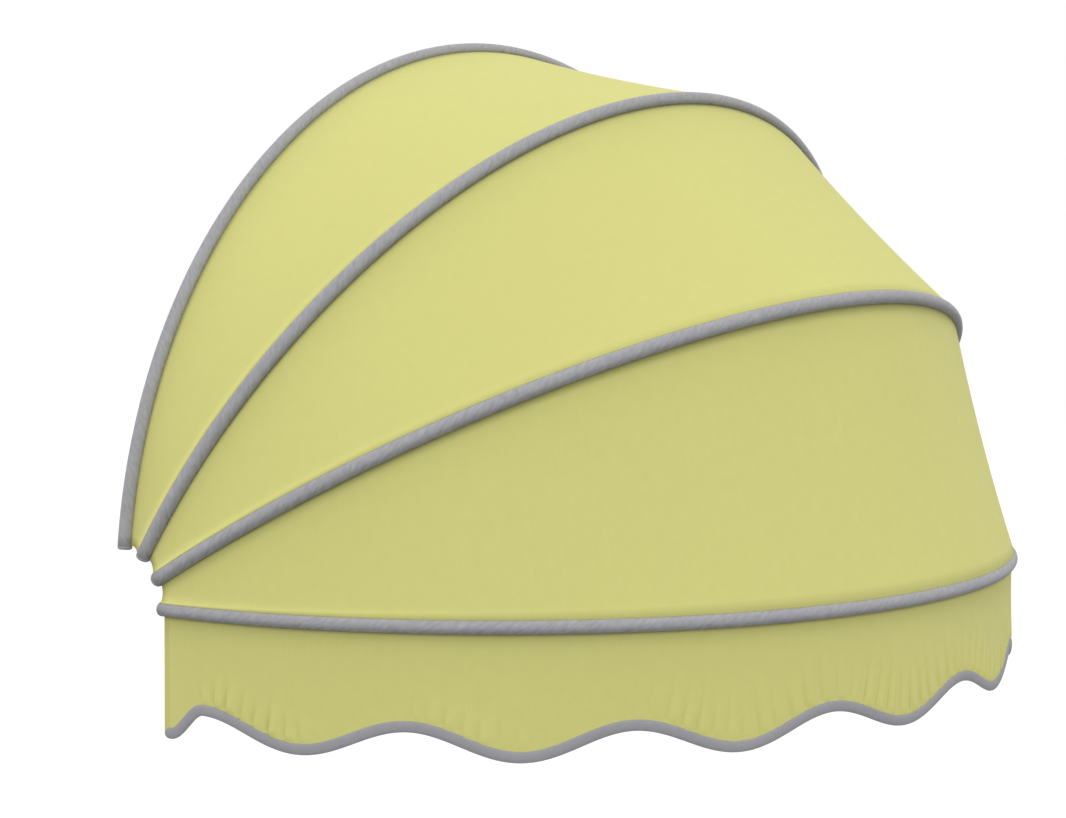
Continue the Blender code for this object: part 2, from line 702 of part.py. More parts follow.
def make_valance_braid():
    """A folded braid that grips the valance's hem in a slot."""
    half, thick = BRAID_WIDTH / 2, BRAID_THICKNESS / 2
    slot = CLOTH_THICKNESS / 2 + GAP
    inner = thick - BRAID_ROUND
    outer_side = [(slot, -half), (inner, -half), (thick, BRAID_ROUND - half), (thick, half - BRAID_ROUND),
                  (inner, half)]
    inner_side = [(-outward, below) for outward, below in reversed(outer_side)]
    floor = half - BRAID_FLOOR
    outline = outer_side + inner_side + [(-slot, floor), (slot, floor)]
    bm = bmesh.new()
    loops = loft(bm, [[hem_point(phi, *place) for place in outline] for phi in valance_phis()])
    bm.faces.new(loops[0])
    bm.faces.new(loops[-1])
    add_piece("valance_braid", bm, BRAID, FRONT_HINGE)


def make_awning():
    make_bows()
    for side in (LEFT, RIGHT):
        where = SIDE_NAMES[side]
        make_bracket(side)
        make_arm(f"upper_arm_{where}", side, UPPER_ANGLE, "upper", UPPER_HINGE)
        make_arm(f"lower_arm_{where}", side, LOWER_ANGLE, "lower", LOWER_HINGE)
        make_arm(f"front_arm_{where}", side, FRONT_ANGLE, "front", FRONT_HINGE)
        make_pivot(side)
    for name, phi in LUG_PHIS.items():
        make_lug(name, phi)
        make_lug_rivet(name, phi)
    solid_sheet("rear_panel", panel_rows(WALL_ANGLE, UPPER_ANGLE), CLOTH_THICKNESS, CLOTH, UPPER_HINGE)
    solid_sheet("middle_panel", panel_rows(UPPER_ANGLE, LOWER_ANGLE), CLOTH_THICKNESS, CLOTH, LOWER_HINGE)
    solid_sheet("front_panel", panel_rows(LOWER_ANGLE, FRONT_ANGLE), CLOTH_THICKNESS, CLOTH, FRONT_HINGE)
    make_valance()
    make_valance_braid()


make_awning()
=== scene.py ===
"""Looks of the dome window awning: grey tube bows, stretched cloth and a scalloped valance."""
import math
import random

import bmesh
import bpy
from mathutils import Matrix, Vector


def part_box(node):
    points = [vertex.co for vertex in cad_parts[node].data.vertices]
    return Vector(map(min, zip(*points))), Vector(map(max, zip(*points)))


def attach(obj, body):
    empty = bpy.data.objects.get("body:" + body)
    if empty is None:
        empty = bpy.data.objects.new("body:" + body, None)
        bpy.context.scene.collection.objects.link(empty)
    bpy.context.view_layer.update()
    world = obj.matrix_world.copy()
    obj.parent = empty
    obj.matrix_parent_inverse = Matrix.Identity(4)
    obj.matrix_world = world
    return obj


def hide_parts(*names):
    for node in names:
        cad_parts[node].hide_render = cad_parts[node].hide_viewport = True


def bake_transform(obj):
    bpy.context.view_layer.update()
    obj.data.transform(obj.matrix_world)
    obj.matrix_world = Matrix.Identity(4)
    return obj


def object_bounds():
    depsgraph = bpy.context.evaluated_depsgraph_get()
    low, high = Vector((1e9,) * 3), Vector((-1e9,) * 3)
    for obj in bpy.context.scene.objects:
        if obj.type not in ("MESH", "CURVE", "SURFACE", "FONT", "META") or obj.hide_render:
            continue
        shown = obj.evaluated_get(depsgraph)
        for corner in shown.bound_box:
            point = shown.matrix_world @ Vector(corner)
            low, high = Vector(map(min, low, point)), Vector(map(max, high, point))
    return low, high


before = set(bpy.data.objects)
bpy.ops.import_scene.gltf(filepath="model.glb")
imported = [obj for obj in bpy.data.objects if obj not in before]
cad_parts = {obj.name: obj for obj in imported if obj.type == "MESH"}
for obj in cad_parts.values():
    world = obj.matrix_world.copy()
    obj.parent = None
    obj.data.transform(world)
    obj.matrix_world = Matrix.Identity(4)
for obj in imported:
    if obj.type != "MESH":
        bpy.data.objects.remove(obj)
cad_low, cad_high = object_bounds()


# The four bows. Each is a half round of aluminium tube, bent in one piece and dressed in a grey
# textured coat. Their planes meet in the fan line, and they hinge about the two pivot bolts.
bow_radius = 1.000
tube_radius = 0.0120
tube_sides = 28
bow_stations = 150
bow_end_rise = 0.0935
wall_to_bow = 0.014
bolt_low, bolt_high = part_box("pivot_bolt_left")
hinge_line = Vector((0.0, (bolt_low.y + bolt_high.y) / 2, (bolt_low.z + bolt_high.z) / 2))
fan_line_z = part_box("wall_bow")[1].z - tube_radius - bow_radius
bow_angles = {"wall": math.radians(90), "upper": math.radians(60), "lower": math.radians(30), "front": 0.0}
bow_bodies = {"wall": "wall_frame", "upper": "upper_fan", "lower": "lower_fan", "front": "front_fan"}


def by_the_bow(angle, phi, outward=0.0, above=0.0):
    """A point by the bow at this angle: phi grows from 0 at the left to pi at the right."""
    reach = (bow_radius + outward) * math.sin(phi)
    forward = reach * math.cos(angle) - above * math.sin(angle)
    up = reach * math.sin(angle) + above * math.cos(angle)
    return Vector((-(bow_radius + outward) * math.cos(phi), -wall_to_bow - forward, fan_line_z + up))


def along_the_bow(angle, phi):
    """The direction in which phi grows."""
    return Vector((math.sin(phi), -math.cos(phi) * math.cos(angle), math.cos(phi) * math.sin(angle)))


def spread_phis(first, count):
    """Evenly spread places along a bow, from the left end to the right one."""
    return [first + (math.pi - 2 * first) * k / count for k in range(count + 1)]


def new_piece(name, bm, material, body=None):
    """A mesh with the piece's own finish, riding on one of the awning's bodies if it is given one."""
    mesh = bpy.data.meshes.new(name)
    bm.normal_update()
    bm.to_mesh(mesh)
    bm.free()
    mesh.materials.append(material)
    mesh.shade_smooth()
    piece = bpy.data.objects.new(name, mesh)
    bpy.context.collection.objects.link(piece)
    if body:
        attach(piece, body)
    return piece


def skin(bm, rings, lay, closed=True, margins=None):
    """Faces between rings of (point, u, v) places. The lay map holds real lengths in metres."""
    verts = [[bm.verts.new(place[0]) for place in ring] for ring in rings]
    count = len(verts[0])
    for i in range(len(verts) - 1):
        for k in range(count if closed else count - 1):
            corners = ((i, k), (i, k + 1), (i + 1, k + 1), (i + 1, k))
            face = bm.faces.new([verts[a][b % count] for a, b in corners])
            for loop, (a, b) in zip(face.loops, corners):
                u, v = rings[a][b % count][1:3]
                if closed and b == count:
                    v = rings[a][-1][2] * count / (count - 1)
                loop[lay].uv = (u, v)
                if margins:
                    loop[margins].uv = rings[a][b % count][3]
    return verts


def shader_of(material):
    return material.node_tree.nodes["Principled BSDF"]


def new_material(name, colour, roughness):
    """A material whose plain numbers sit on the shader's own sockets."""
    material = bpy.data.materials.new(name)
    material.use_nodes = True
    shader = shader_of(material)
    shader.inputs["Base Color"].default_value = (*colour, 1.0)
    shader.inputs["Roughness"].default_value = roughness
    return material


def add_node(tree, kind, inputs=None, **settings):
    """A node with its settings, and its inputs as numbers or links."""
    node = tree.nodes.new(kind)
    for key, value in settings.items():
        setattr(node, key, value)
    for key, value in (inputs or {}).items():
        if isinstance(value, bpy.types.NodeSocket):
            tree.links.new(value, node.inputs[key])
        else:
            node.inputs[key].default_value = value
    return node


def arithmetic(tree, operation, a, b=0.0, c=0.0):
    """One Math node, as its output socket."""
    return add_node(tree, "ShaderNodeMath", {0: a, 1: b, 2: c}, operation=operation).outputs[0]


def blended(tree, share, first, second, blend="MIX"):
    """Two colours mixed by a mask."""
    inputs = {"Factor": share, "A": first, "B": second}
    node = tree.nodes.new("ShaderNodeMix")
    node.data_type = "RGBA"
    node.blend_type = blend
    sockets = {"Factor": node.inputs[0], "A": node.inputs[6], "B": node.inputs[7]}
    for key, value in inputs.items():
        if isinstance(value, bpy.types.NodeSocket):
            tree.links.new(value, sockets[key])
        elif key == "Factor":
            sockets[key].default_value = value
        else:
            sockets[key].default_value = (*value, 1.0)
    return node.outputs[2]


def new_group(name, inputs, outputs):
    """An empty node group with named sockets, and its two end nodes."""
    group = bpy.data.node_groups.new(name, "ShaderNodeTree")
    for socket, kind, value in inputs:
        made = group.interface.new_socket(name=socket, in_out="INPUT", socket_type=kind)
        if value is not None:
            made.default_value = value
    for socket, kind in outputs:
        group.interface.new_socket(name=socket, in_out="OUTPUT", socket_type=kind)
    return group, group.nodes.new("NodeGroupInput"), group.nodes.new("NodeGroupOutput")


def place_group(tree, group, inputs):
    """A group set into a material, with that material's own values."""
    node = tree.nodes.new("ShaderNodeGroup")
    node.node_tree = group
    for key, value in inputs.items():
        if isinstance(value, bpy.types.NodeSocket):
            tree.links.new(value, node.inputs[key])
        else:
            node.inputs[key].default_value = value
    return node


def bumped(tree, height, distance, strength=1.0):
    """A Bump node on the shader's Normal."""
    shader = tree.nodes["Principled BSDF"]
    bump = add_node(tree, "ShaderNodeBump", {"Height": height, "Distance": distance, "Strength": strength})
    tree.links.new(bump.outputs["Normal"], shader.inputs["Normal"])


def weave_group():
    """Threads over and under: a mask of thread crowns from places in metres."""
    group, start, end = new_group(
        "over_and_under_weave",
        [("Place", "NodeSocketVector", None), ("Across", "NodeSocketFloat", 0.001),
         ("Along", "NodeSocketFloat", 0.001), ("Slant", "NodeSocketFloat", 0.0)],
        [("Height", "NodeSocketFloat"), ("Shade", "NodeSocketFloat")])
    split = add_node(group, "ShaderNodeSeparateXYZ", {0: start.outputs["Place"]})
    slanted = arithmetic(group, "MULTIPLY_ADD", split.outputs[1], start.outputs["Slant"], split.outputs[0])
    counter = arithmetic(group, "MULTIPLY", split.outputs[0], start.outputs["Slant"])
    counter = arithmetic(group, "SUBTRACT", split.outputs[1], counter)
    warp = arithmetic(group, "DIVIDE", slanted, start.outputs["Across"])
    weft = arithmetic(group, "DIVIDE", counter, start.outputs["Along"])
    warp_wave = arithmetic(group, "SINE", arithmetic(group, "MULTIPLY", warp, math.pi))
    weft_wave = arithmetic(group, "SINE", arithmetic(group, "MULTIPLY", weft, math.pi))
    crossing = arithmetic(group, "MULTIPLY", warp_wave, weft_wave)
    crown = arithmetic(group, "MULTIPLY_ADD", crossing, 0.5, 0.5)
    valley = arithmetic(group, "MINIMUM", arithmetic(group, "ABSOLUTE", warp_wave),
                        arithmetic(group, "ABSOLUTE", weft_wave))
    height = arithmetic(group, "MULTIPLY_ADD", valley, 0.6, arithmetic(group, "MULTIPLY", crown, 0.4))
    group.links.new(height, end.inputs["Height"])
    group.links.new(crown, end.inputs["Shade"])
    return group


def mottle_group():
    """Uneven tone, as in any dyed or painted surface: two sizes of cloudy noise about zero."""
    group, start, end = new_group(
        "uneven_tone",
        [("Place", "NodeSocketVector", None), ("Broad", "NodeSocketFloat", 3.0),
         ("Fine", "NodeSocketFloat", 60.0), ("Strength", "NodeSocketFloat", 0.05)],
        [("Tone", "NodeSocketFloat")])
    broad = add_node(group, "ShaderNodeTexNoise", {"Vector": start.outputs["Place"],
                                                  "Scale": start.outputs["Broad"], "Detail": 2.0})
    fine = add_node(group, "ShaderNodeTexNoise", {"Vector": start.outputs["Place"],
                                                 "Scale": start.outputs["Fine"], "Detail": 3.0})
    both = arithmetic(group, "ADD", broad.outputs["Fac"], fine.outputs["Fac"])
    centred = arithmetic(group, "SUBTRACT", both, 1.0)
    tone = arithmetic(group, "MULTIPLY_ADD", centred, start.outputs["Strength"], 1.0)
    group.links.new(tone, end.inputs["Tone"])
    return group


weave = weave_group()
uneven_tone = mottle_group()


def toned(tree, colour, tone):
    """The colour made a little lighter or darker from place to place."""
    shade = add_node(tree, "ShaderNodeCombineXYZ", {0: tone, 1: tone, 2: tone})
    return blended(tree, 1.0, colour, shade.outputs[0], "MULTIPLY")


tube_grey = (0.420, 0.420, 0.445)
streak_slant = math.radians(38)
streak_length = 0.022
streak_width = 0.0062
streak_strength = 0.55
underside_shade_strength = 0.34


def slanting_streaks(tree, place, slant, length, width):
    """Cloudy streaks that lie slanting across a place map: noise drawn out along one direction."""
    split = add_node(tree, "ShaderNodeSeparateXYZ", {0: place})
    u, v = split.outputs[0], split.outputs[1]
    along = arithmetic(tree, "MULTIPLY_ADD", v, -math.tan(slant), u)
    across = arithmetic(tree, "MULTIPLY_ADD", u, math.tan(slant), v)
    drawn = add_node(tree, "ShaderNodeCombineXYZ", {0: arithmetic(tree, "DIVIDE", along, length),
                                                    1: arithmetic(tree, "DIVIDE", across, width)})
    noise = add_node(tree, "ShaderNodeTexNoise", {"Vector": drawn.outputs[0], "Scale": 1.0, "Detail": 2.0})
    return arithmetic(tree, "SUBTRACT", noise.outputs["Fac"], 0.5)


def painted_underside_shade(tree):
    """Mask of the painted shade on a tube: 1 where it faces the ground and 0 on its upper half, with a soft
    change between.
    """
    margins = add_node(tree, "ShaderNodeUVMap", uv_map="margins")
    facing_down = add_node(tree, "ShaderNodeSeparateXYZ", {0: margins.outputs["UV"]}).outputs[0]
    soft = add_node(tree, "ShaderNodeMapRange", {"Value": facing_down, "From Min": -0.1, "From Max": 0.85},
                    interpolation_type="SMOOTHSTEP")
    return soft.outputs[0]


def textured_coat():
    """Matte grey coat with a slanting grain all along the tube, and painted shade on its underside."""
    material = new_material("textured_grey_coat", tube_grey, 0.62)
    tree = material.node_tree
    lay = add_node(tree, "ShaderNodeUVMap", uv_map="lay")
    coordinates = add_node(tree, "ShaderNodeTexCoord")
    grain = place_group(tree, weave, {"Place": lay.outputs["UV"], "Across": 0.0018, "Along": 0.0012,
                                      "Slant": 0.6})
    streaks = slanting_streaks(tree, lay.outputs["UV"], streak_slant, streak_length, streak_width)
    clouds = place_group(tree, uneven_tone, {"Place": coordinates.outputs["Object"], "Broad": 9.0,
                                             "Fine": 120.0, "Strength": 0.16})
    tone = arithmetic(tree, "MULTIPLY_ADD", streaks, streak_strength, clouds.outputs["Tone"])
    # painted shade: the tube's underside is made darker
    tone = arithmetic(tree, "MULTIPLY_ADD", painted_underside_shade(tree), -underside_shade_strength, tone)
    tree.links.new(toned(tree, tube_grey, tone), shader_of(material).inputs["Base Color"])
    height = arithmetic(tree, "MULTIPLY_ADD", streaks, 2.0, grain.outputs["Height"])
    bumped(tree, height, 0.0004, 0.6)
    shader_of(material).inputs["Specular IOR Level"].default_value = 0.35
    return material


coat = textured_coat()


def bent_tube(name, angle, body):
    """The tube's outside and ends. The lay map holds lengths, the margins map which way it faces."""
    bm = bmesh.new()
    lay = bm.loops.layers.uv.new("lay")
    turns = [2 * math.pi * k / tube_sides - math.pi / 2 for k in range(tube_sides)]
    rings = []
    for phi in spread_phis(math.asin(bow_end_rise / bow_radius), bow_stations):
        middle = by_the_bow(angle, phi)
        ring = []
        for turn in turns:
            point = by_the_bow(angle, phi, tube_radius * math.sin(turn), tube_radius * math.cos(turn))
            facing_down = (middle.z - point.z) / tube_radius
            ring.append((point, phi * bow_radius, (turn + math.pi / 2) * tube_radius, (facing_down, 0.0)))
        rings.append(ring)
    verts = skin(bm, rings, lay, margins=bm.loops.layers.uv.new("margins"))
    for ring in (verts[0], verts[-1]):
        bm.faces.new(ring)
    bmesh.ops.recalc_face_normals(bm, faces=bm.faces)
    return new_piece(name, bm, coat, body)


for bow, angle in bow_angles.items():
    tube = bent_tube(f"{bow}_tube", angle, bow_bodies[bow])
    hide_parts(f"{bow}_bow")


# End caps. Moulded plastic plugs pushed into both ends of every tube, with a head as wide as the
# tube and a well rounded rim. They have the same grey as the coat, a little smoother.
cap_head = 0.006
cap_round = 0.0042
cap_seat = 0.0003
cap_grey = (0.365, 0.365, 0.385)


def moulded_plastic():
    material = new_material("cap_grey_plastic", cap_grey, 0.5)
    tree = material.node_tree
    coordinates = add_node(tree, "ShaderNodeTexCoord")
    clouds = place_group(tree, uneven_tone, {"Place": coordinates.outputs["Object"], "Broad": 40.0,
                                             "Fine": 400.0, "Strength": 0.06})
    tree.links.new(toned(tree, cap_grey, clouds.outputs["Tone"]), shader_of(material).inputs["Base Color"])
    return material


cap_plastic = moulded_plastic()


def end_cap(name, angle, phi, inward, body):
    """The head of one plug, turned about the tube's own line."""
    bm = bmesh.new()
    lay = bm.loops.layers.uv.new("lay")
    mouth = by_the_bow(angle, phi)
    profile = [(-cap_seat, tube_radius * 0.8), (-cap_seat, tube_radius)]
    for k in range(7):
        bend = math.pi / 2 * k / 6
        profile.append((-cap_head + cap_round * (1 - math.sin(bend)),
                        tube_radius - cap_round * (1 - math.cos(bend))))
    profile.append((-cap_head - 0.0002, tube_radius * 0.35))
    side = inward.orthogonal().normalized()
    rings = []
    for along, radius in profile:
        spokes = []
        for k in range(tube_sides):
            spokes.append(Matrix.Rotation(2 * math.pi * k / tube_sides, 3, inward) @ side)
        rings.append([(mouth + inward * along + spoke * radius, along, radius) for spoke in spokes])
    verts = skin(bm, rings, lay)
    bm.faces.new(verts[0])
    bm.faces.new(verts[-1])
    bmesh.ops.recalc_face_normals(bm, faces=bm.faces)
    return new_piece(name, bm, cap_plastic, body)


bow_end_phi = math.asin(bow_end_rise / bow_radius)
for bow, angle in bow_angles.items():
    for side, phi, sign in (("left", bow_end_phi, 1), ("right", math.pi - bow_end_phi, -1)):
        cap = end_cap(f"{bow}_cap_{side}", angle, phi, along_the_bow(angle, phi) * sign, bow_bodies[bow])
        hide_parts(f"{bow}_bow_cap_{side}")


# Hinge arms, wall brackets and wall lugs. Cast or pressed aluminium in a flat darker grey paint,
# screwed to the tubes from inside. Their CAD solids have the real shapes and only take the finish.
cast_grey = (0.30, 0.30, 0.315)


def cast_paint():
    material = new_material("cast_grey_paint", cast_grey, 0.58)
    tree = material.node_tree
    coordinates = add_node(tree, "ShaderNodeTexCoord")
    clouds = place_group(tree, uneven_tone, {"Place": coordinates.outputs["Object"], "Broad": 18.0,
                                             "Fine": 260.0, "Strength": 0.18})
    tree.links.new(toned(tree, cast_grey, clouds.outputs["Tone"]), shader_of(material).inputs["Base Color"])
    sand = add_node(tree, "ShaderNodeTexNoise", {"Vector": coordinates.outputs["Object"], "Scale": 900.0,
                                                "Detail": 4.0})
    bumped(tree, sand.outputs["Fac"], 0.0004, 0.5)
    return material


casting = cast_paint()
cast_nodes = [f"hinge_bracket_{side}" for side in ("left", "right")]
cast_nodes += [f"{bow}_arm_{side}" for bow in ("upper", "lower", "front") for side in ("left", "right")]
cast_nodes += [f"wall_lug_{place}" for place in ("top", "left", "right")]


def refinish(nodes, material):
    """Give CAD nodes the scene's own finish."""
    for node in nodes:
        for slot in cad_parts[node].material_slots:
            slot.material = material


refinish(cast_nodes, casting)


# Fasteners. Zinc-plated steel: the pivot bolts and nuts, the screws in the arms and brackets, and
# the rivets of the lugs. The plating is a little uneven, duller in some places than in others.
zinc_colour = (0.62, 0.62, 0.60)


def zinc_plate():
    material = new_material("zinc_plated_steel", zinc_colour, 0.34)
    shader_of(material).inputs["Metallic"].default_value = 1.0
    tree = material.node_tree
    coordinates = add_node(tree, "ShaderNodeTexCoord")
    clouds = place_group(tree, uneven_tone, {"Place": coordinates.outputs["Object"], "Broad": 70.0,
                                             "Fine": 900.0, "Strength": 0.2})
    plated = toned(tree, zinc_colour, clouds.outputs["Tone"])
    tree.links.new(plated, shader_of(material).inputs["Base Color"])
    rough = arithmetic(tree, "MULTIPLY_ADD", clouds.outputs["Tone"], 0.6, -0.26)
    tree.links.new(rough, shader_of(material).inputs["Roughness"])
    return material


zinc = zinc_plate()
steel_nodes = [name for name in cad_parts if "screw" in name or "rivet" in name or "pivot_bolt" in name
               or "pivot_nut" in name]
refinish(steel_nodes, zinc)


# Washers. Black nylon discs that keep the arms apart on the pivot bolts and let them turn
# without squeaking. They are punched from sheet, so their faces are satin and a little uneven.
def nylon_disc():
    colour = (0.03, 0.03, 0.032)
    material = new_material("black_nylon", colour, 0.45)
    tree = material.node_tree
    coordinates = add_node(tree, "ShaderNodeTexCoord")
    clouds = place_group(tree, uneven_tone, {"Place": coordinates.outputs["Object"], "Broad": 60.0,
                                             "Fine": 500.0, "Strength": 0.3})
    tree.links.new(toned(tree, colour, clouds.outputs["Tone"]), shader_of(material).inputs["Base Color"])
    return material


refinish([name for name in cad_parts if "washer" in name], nylon_disc())


# The three panels. Woven acrylic awning cloth, cut as tapering gores and stretched from bow to
# bow. Each leaves its back tube low down, is a little hollow, and runs up over its front tube.
cloth_colour = (0.760, 0.740, 0.2575)
cloth_thickness = 0.0012
end_inset = 0.003
end_hollow = 0.004
cloth_seat_back = math.radians(-15)
cloth_seat_front = math.radians(36)
cloth_sunk = 0.0007
side_hem = 0.010
thread_across = 0.0009
thread_along = 0.0011
slubs_per_metre = (900.0, 14.0, 1.0)
thread_tone = 0.05
cloth_dip = 0.007
panel_stations = 180
panel_rows = 22


def fading(tree, distance, reach, power=1.0):
    """1 at distance nought, falling away softly within a reach in metres."""
    scaled = arithmetic(tree, "DIVIDE", arithmetic(tree, "MAXIMUM", distance, 0.0), reach)
    if power != 1.0:
        scaled = arithmetic(tree, "POWER", scaled, power)
    return arithmetic(tree, "EXPONENT", arithmetic(tree, "MULTIPLY", scaled, -1.0))


def painted_tube_shade_and_hems(tree, tone):
    """Painted shadow below the tube above, a painted light line over the tube below, doubled side hems."""
    margins = add_node(tree, "ShaderNodeUVMap", uv_map="margins")
    split = add_node(tree, "ShaderNodeSeparateXYZ", {0: margins.outputs["UV"]})
    under, over = split.outputs[0], split.outputs[1]
    # painted shadow on the cloth below the tube above: a broad soft band and a dark contact line
    tone = arithmetic(tree, "MULTIPLY_ADD", fading(tree, under, 0.032), -0.125, tone)
    tone = arithmetic(tree, "MULTIPLY_ADD", fading(tree, under, 0.006, 2.0), -0.10, tone)
    # painted light: a brighter line on the cloth just above the tube below
    tone = arithmetic(tree, "MULTIPLY_ADD", fading(tree, over, 0.011, 2.0), 0.17, tone)
    lay = add_node(tree, "ShaderNodeUVMap", uv_map="lay")
    along = add_node(tree, "ShaderNodeSeparateXYZ", {0: lay.outputs["UV"]}).outputs[0]
    mirrored = arithmetic(tree, "SUBTRACT", math.pi * bow_radius, along)
    from_end = arithmetic(tree, "MINIMUM", along, mirrored)
    hem = arithmetic(tree, "LESS_THAN", from_end, bow_end_rise + end_inset + side_hem)
    return arithmetic(tree, "MULTIPLY_ADD", hem, -0.07, tone)


def awning_cloth():
    """Plain-woven acrylic: fine threads, faint slubs and a slight unevenness of dye."""
    material = new_material("awning_cloth", cloth_colour, 0.88)
    tree = material.node_tree
    lay = add_node(tree, "ShaderNodeUVMap", uv_map="lay")
    threads = place_group(tree, weave, {"Place": lay.outputs["UV"], "Across": thread_across,
                                        "Along": thread_along, "Slant": 0.0})
    clouds = place_group(tree, uneven_tone, {"Place": lay.outputs["UV"], "Broad": 2.5,
                                             "Fine": 45.0, "Strength": 0.045})
    drawn = add_node(tree, "ShaderNodeMapping", {"Vector": lay.outputs["UV"], "Scale": slubs_per_metre})
    slubs = add_node(tree, "ShaderNodeTexNoise", {"Vector": drawn.outputs[0], "Scale": 1.0, "Detail": 2.0})
    tone = arithmetic(tree, "MULTIPLY_ADD", slubs.outputs["Fac"], thread_tone, -thread_tone / 2)
    tone = arithmetic(tree, "ADD", tone, clouds.outputs["Tone"])
    tone = arithmetic(tree, "SUBTRACT", tone, thread_tone / 2)
    tone = arithmetic(tree, "MULTIPLY_ADD", threads.outputs["Shade"], thread_tone, tone)
    # painted shadow under each tube and painted light over the next one, then darker doubled hems
    tone = painted_tube_shade_and_hems(tree, tone)
    tree.links.new(toned(tree, cloth_colour, tone), shader_of(material).inputs["Base Color"])
    bumped(tree, threads.outputs["Height"], 0.00025, 0.7)
    shader = shader_of(material)
    shader.inputs["Specular IOR Level"].default_value = 0.2
    shader.inputs["Sheen Weight"].default_value = 0.08
    shader.inputs["Sheen Roughness"].default_value = 0.5
    return material


cloth = awning_cloth()


def two_sided(bm, rows, lay, thickness):
    """A closed sheet round a grid of (point, u, v, margins) places: two faces and a rim."""
    def normal_at(i, k):
        before, after = rows[max(i - 1, 0)][k][0], rows[min(i + 1, len(rows) - 1)][k][0]
        left, right = rows[i][max(k - 1, 0)][0], rows[i][min(k + 1, len(rows[i]) - 1)][0]
        return (after - before).cross(right - left).normalized()

    margins = bm.loops.layers.uv.new("margins")
    across = range(len(rows[0]))
    outside = [[(rows[i][k][0] + normal_at(i, k) * thickness / 2, *rows[i][k][1:]) for k in across]
               for i in range(len(rows))]
    inside = [[(rows[i][k][0] - normal_at(i, k) * thickness / 2, *rows[i][k][1:]) for k in across]
              for i in range(len(rows))]
    front = skin(bm, outside, lay, closed=False, margins=margins)
    back = skin(bm, inside, lay, closed=False, margins=margins)

    def rim(first, second):
        for k in range(len(first) - 1):
            bm.faces.new((first[k], first[k + 1], second[k + 1], second[k]))

    for i in (0, -1):
        rim(front[i], back[i])
    for k in (0, -1):
        rim([row[k] for row in front], [row[k] for row in back])
    bmesh.ops.recalc_face_normals(bm, faces=bm.faces)


def seat_on_tube(seat):
    """How far along the cloth, and out from it, its edge lies from a tube's centre, sunk in a little."""
    to_axis = tube_radius + cloth_thickness / 2 - cloth_sunk
    return to_axis * math.cos(seat), to_axis * math.sin(seat)


def stretched_panel(name, back_angle, front_angle):
    """One panel from tube to tube, in the same line as the CAD sheet, with many more stations."""
    chord = 2 * math.sin((back_angle - front_angle) / 2) * bow_radius
    middle = (back_angle + front_angle) / 2
    back_along, back_rise = seat_on_tube(cloth_seat_back)
    front_along, front_rise = seat_on_tube(cloth_seat_front)
    rows = []
    for j in range(panel_rows + 1):
        share = j / panel_rows
        hollow = 4 * share * (1 - share)
        row = []
        first = math.asin((bow_end_rise + end_inset + end_hollow * hollow) / bow_radius)
        for phi in spread_phis(first, panel_stations):
            back, front = by_the_bow(back_angle, phi), by_the_bow(front_angle, phi)
            span = front - back
            square = span.cross(along_the_bow(back_angle, phi)).length
            start, end = back_along / square, 1 - front_along / square
            rise = back_rise + (front_rise - back_rise) * share
            dip = cloth_dip * hollow * (span.length / chord) ** 2
            outward = by_the_bow(middle, phi, 1.0) - by_the_bow(middle, phi)
            point = back + span * (start + (end - start) * share) + outward * (rise - dip)
            taut = span.length - back_along - front_along
            # the margins hold the distance from the back tube and to the front tube, for the painted shadow
            # and painted light by the tubes
            row.append((point, phi * bow_radius, share * taut, (share * taut, (1 - share) * taut)))
        rows.append(row)
    bm = bmesh.new()
    lay = bm.loops.layers.uv.new("lay")
    two_sided(bm, rows, lay, cloth_thickness)
    return new_piece(name, bm, cloth)


def swing_share(point, back_angle, front_angle):
    """How far round the hinge line a point lies, from the back bow (0) to the front bow (1)."""
    def turn_of(place):
        arm = place - hinge_line
        return math.atan2(arm.z, -arm.y)

    first = math.asin(bow_end_rise / bow_radius)
    across = min(abs(point.x) / bow_radius, math.cos(first))
    phi = math.acos(math.copysign(across, -point.x))
    back, front = turn_of(by_the_bow(back_angle, phi)), turn_of(by_the_bow(front_angle, phi))
    return max(0.0, min(1.0, (turn_of(point) - back) / (front - back)))


def fold_with_bows(panel, back_bow, front_bow):
    """Bake the panel's place into its mesh and work out each point's share of the angle between its two
    bows; nothing uses the shares.
    """
    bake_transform(panel)
    shares = [swing_share(v.co, bow_angles[back_bow], bow_angles[front_bow]) for v in panel.data.vertices]


for name, back_bow, front_bow in (("rear_panel", "wall", "upper"), ("middle_panel", "upper", "lower"),
                                  ("front_panel", "lower", "front")):
    panel = stretched_panel(f"{name}_cloth", bow_angles[back_bow], bow_angles[front_bow])
    fold_with_bows(panel, back_bow, front_bow)
    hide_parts(name)


# The valance. A strip of the same cloth that hangs from the front bow. Its hem rises and falls
# in eight scallops, and the braid has drawn the cloth into small upright gathers above it.
valance_drop = 0.177
scallop_depth = 0.0225
scallop_count = 8
braid_half = 0.009
hem_in_braid = 0.0033
valance_stations = 1200
valance_rows = 30
hem_low_inset = 0.010
valance_gap = 0.0003
tuck_pitch = 0.027
tuck_depth = 0.0050
crease_offset = 0.0075
crease_width = 0.0030
crease_depth = 1.4
tuck_lean = 0.45
run_margin = 2.5
tuck_runs = ((10.5, 20.0, 1.15, 0.060), (31.0, 39.0, 0.65, 0.052), (52.0, 72.0, 0.58, 0.100),
             (73.0, 90.0, 0.85, 0.100))


def end_phi():
    return math.asin((bow_end_rise + end_inset) / bow_radius)


crest = math.pi / (scallop_count + 1) / 2


def hem_drop(phi):
    """How far the middle of the braid hangs below the front bow: a low at each end."""
    from_end = min(phi, math.pi - phi)
    if from_end < crest:
        low = end_phi() + hem_low_inset / bow_radius
        wave = math.pi * (from_end - low) / (crest - low)
    else:
        wave = math.pi * phi / crest
    return valance_drop + scallop_depth * math.cos(wave)


